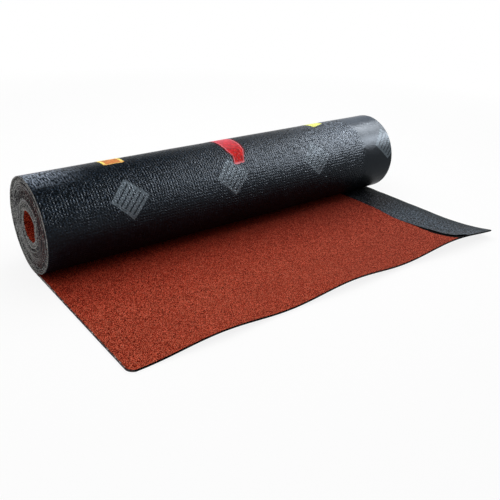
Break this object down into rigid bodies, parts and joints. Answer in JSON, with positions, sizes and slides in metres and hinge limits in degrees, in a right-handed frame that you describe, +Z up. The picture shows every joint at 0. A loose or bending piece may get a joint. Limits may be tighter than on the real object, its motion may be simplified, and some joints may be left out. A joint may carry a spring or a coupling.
{
  "type": "roll of roofing felt",
  "caption": "Roll of red mineral-surfaced roofing felt, lying on its side with its free end rolled out flat and a film-covered selvedge along one edge",
  "frame": {"origin": "on the floor under the roll's axis, halfway along the roll", "axes": "+X along the roll towards the selvedge, -Y from the roll towards the free end, +Z up"},
  "size_m": [1, 0.5506, 0.2116],
  "materials": {
    "felt": "near-black embossed film outside, brick-red mineral granules on the side that faces up on the free end",
    "film": "thin grey-blue release film, satin",
    "tape": "red packing tape, glossy, torn",
    "label_orange": "plain orange label with a yellow border, no print",
    "label_yellow": "plain yellow scrap of a label, no print"
  },
  "bodies": {
    "root": {"felt_roll": "felt", "selvedge_film": "film", "sealing_tape": "tape", "left_label": "label_orange", "right_label": "label_yellow"}
  },
  "joints": []
}
